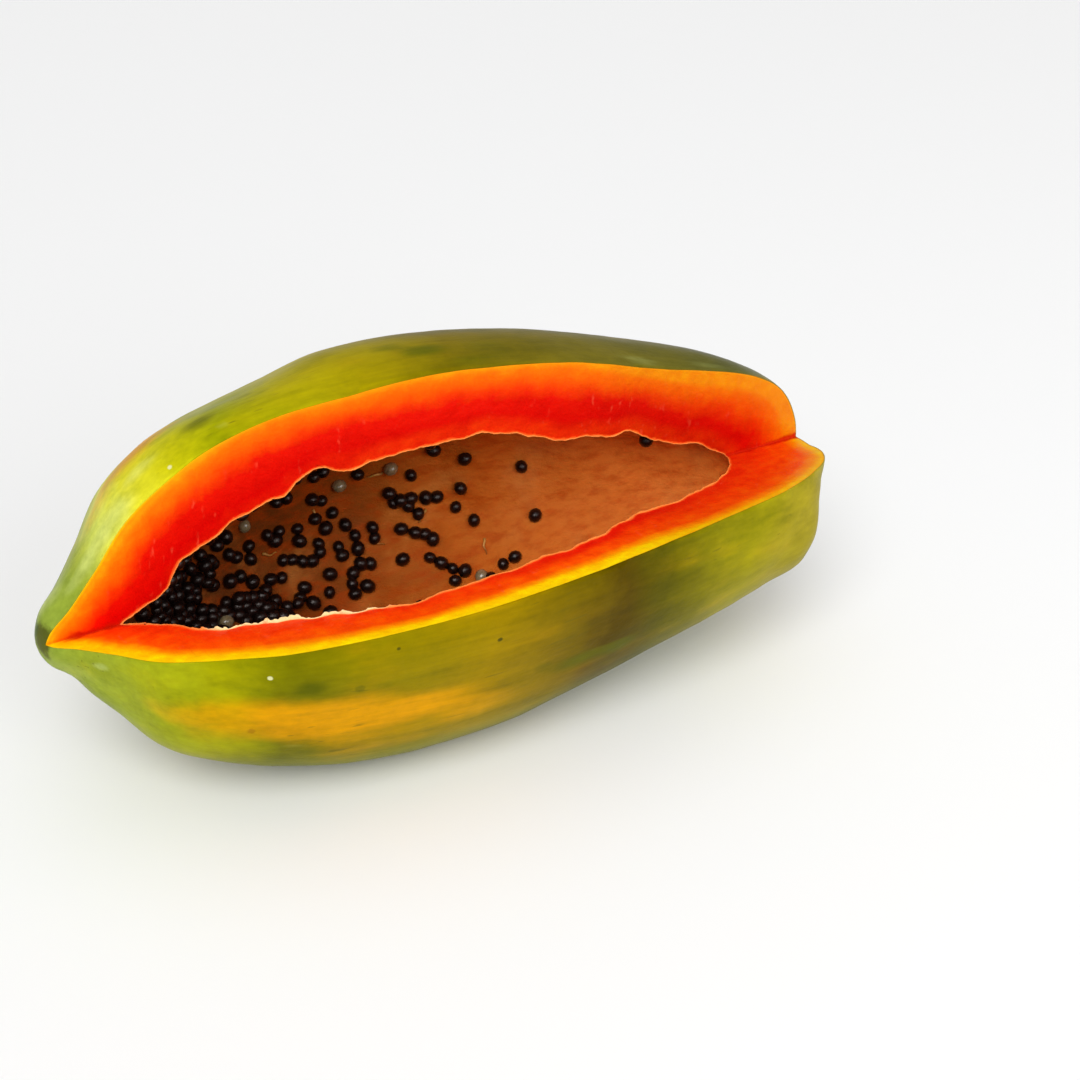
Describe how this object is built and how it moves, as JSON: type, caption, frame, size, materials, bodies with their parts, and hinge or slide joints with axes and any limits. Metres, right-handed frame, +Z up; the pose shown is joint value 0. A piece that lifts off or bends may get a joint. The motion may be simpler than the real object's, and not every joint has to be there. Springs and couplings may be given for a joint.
{
  "type": "cut papaya half",
  "caption": "Long ripe papaya lying on its side with a lengthwise wedge cut out, showing orange flesh and a hollow cavity with black seeds.",
  "frame": {"origin": "on the small flat spot that the fruit rests on, under its swollen middle", "axes": "+X from the blossom tip to the stem end, +Z up, the cut wedge opens upwards and towards -Y"},
  "size_m": [0.3139, 0.1557, 0.1509],
  "materials": {
    "flesh": "moist cut fruit flesh, red-orange inside and yellow by the skin",
    "skin": "waxy satin skin, mottled green and yellow",
    "lining": "smooth moist salmon-brown lining",
    "seed": "wet black seeds"
  },
  "bodies": {
    "root": {"papaya_half": "flesh"}
  },
  "joints": []
}
